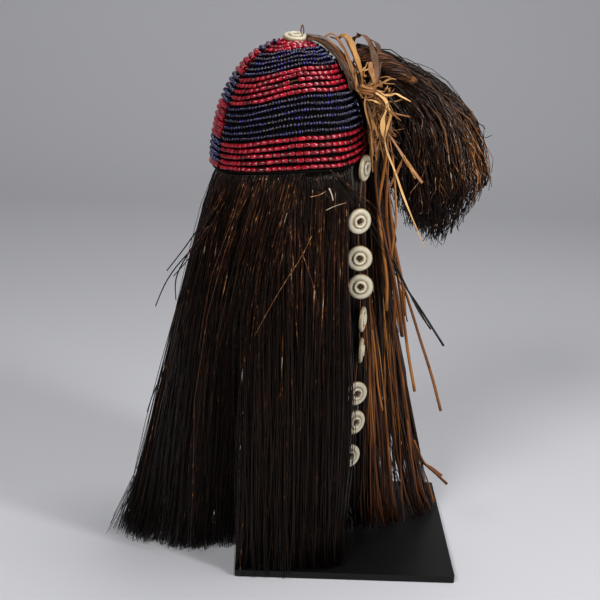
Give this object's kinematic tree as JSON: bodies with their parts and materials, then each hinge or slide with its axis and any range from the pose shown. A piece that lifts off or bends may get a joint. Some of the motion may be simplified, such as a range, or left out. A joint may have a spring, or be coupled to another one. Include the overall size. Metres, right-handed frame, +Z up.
{
  "type": "beaded headdress",
  "caption": "Close-fitting beaded cap with a long fibre fringe, a raffia curtain and a bent tuft behind, held up on a square foot plate with a rod and cradle.",
  "frame": {"origin": "centre of the stand plate's underside", "axes": "+Z up; +X towards the back of the headdress, where the tuft hangs over; -Y the near side, which the button string hangs on"},
  "size_m": [0.41, 0.2528, 0.6042],
  "materials": {
    "red_beads": "glossy opaque crimson glass tube beads",
    "blue_beads": "glossy dark blue round glass beads",
    "net_cord": "netted black-brown plant fibre cord",
    "dark_fibre": "stiff black-brown plant fibre, satin",
    "raffia": "golden brown dried raffia",
    "raffia_tie": "flat straw-coloured raffia strip",
    "button_shell": "ivory white moulded button, worn gloss",
    "brown_thread": "twisted brown thread",
    "stand_black": "black satin paint on steel",
    "stand_felt": "black felt over a padded form"
  },
  "bodies": {
    "root": {"stand_cradle": "stand_felt", "stand_post": "stand_black", "cap_net": "net_cord", "beads_near_red_rim": "red_beads", "beads_far_red_rim": "red_beads", "beads_near_blue_low": "blue_beads", "beads_far_blue_low": "blue_beads", "beads_near_red_middle": "red_beads", "beads_far_red_middle": "red_beads", "beads_near_blue_high": "blue_beads", "beads_far_blue_high": "blue_beads", "beads_near_red_crown": "red_beads", "beads_far_red_crown": "red_beads", "beads_front_red_rim": "red_beads", "beads_front_blue_low": "blue_beads", "beads_front_red_low": "red_beads", "beads_front_blue_middle": "blue_beads", "beads_front_red_high": "red_beads", "beads_front_blue_crown": "blue_beads", "fringe_near_back": "dark_fibre", "fringe_near_front": "dark_fibre", "fringe_front_near": "dark_fibre", "fringe_front_far": "dark_fibre", "fringe_far_front": "dark_fibre", "fringe_far_back": "dark_fibre", "raffia_near": "raffia", "raffia_far": "raffia", "tuft": "dark_fibre", "tuft_binding": "raffia", "tie_edge": "raffia_tie", "tie_loop_front": "raffia_tie", "tie_loop_middle": "raffia_tie", "tie_loop_high": "raffia_tie", "tie_back_strip": "raffia_tie", "tie_end_long": "raffia_tie", "tie_end_wide": "raffia_tie", "tie_end_thin": "raffia_tie", "tie_end_upper": "raffia_tie", "tie_end_side": "raffia_tie", "tie_knot": "raffia_tie", "button_1": "button_shell", "crown_button": "button_shell", "crown_loop": "brown_thread", "button_string": "brown_thread", "button_2": "button_shell", "button_3": "button_shell", "button_4": "button_shell", "button_5": "button_shell", "button_6": "button_shell", "button_7": "button_shell", "button_8": "button_shell", "button_9": "button_shell", "string_knot": "brown_thread", "stand_plate": "stand_black"}
  },
  "joints": []
}
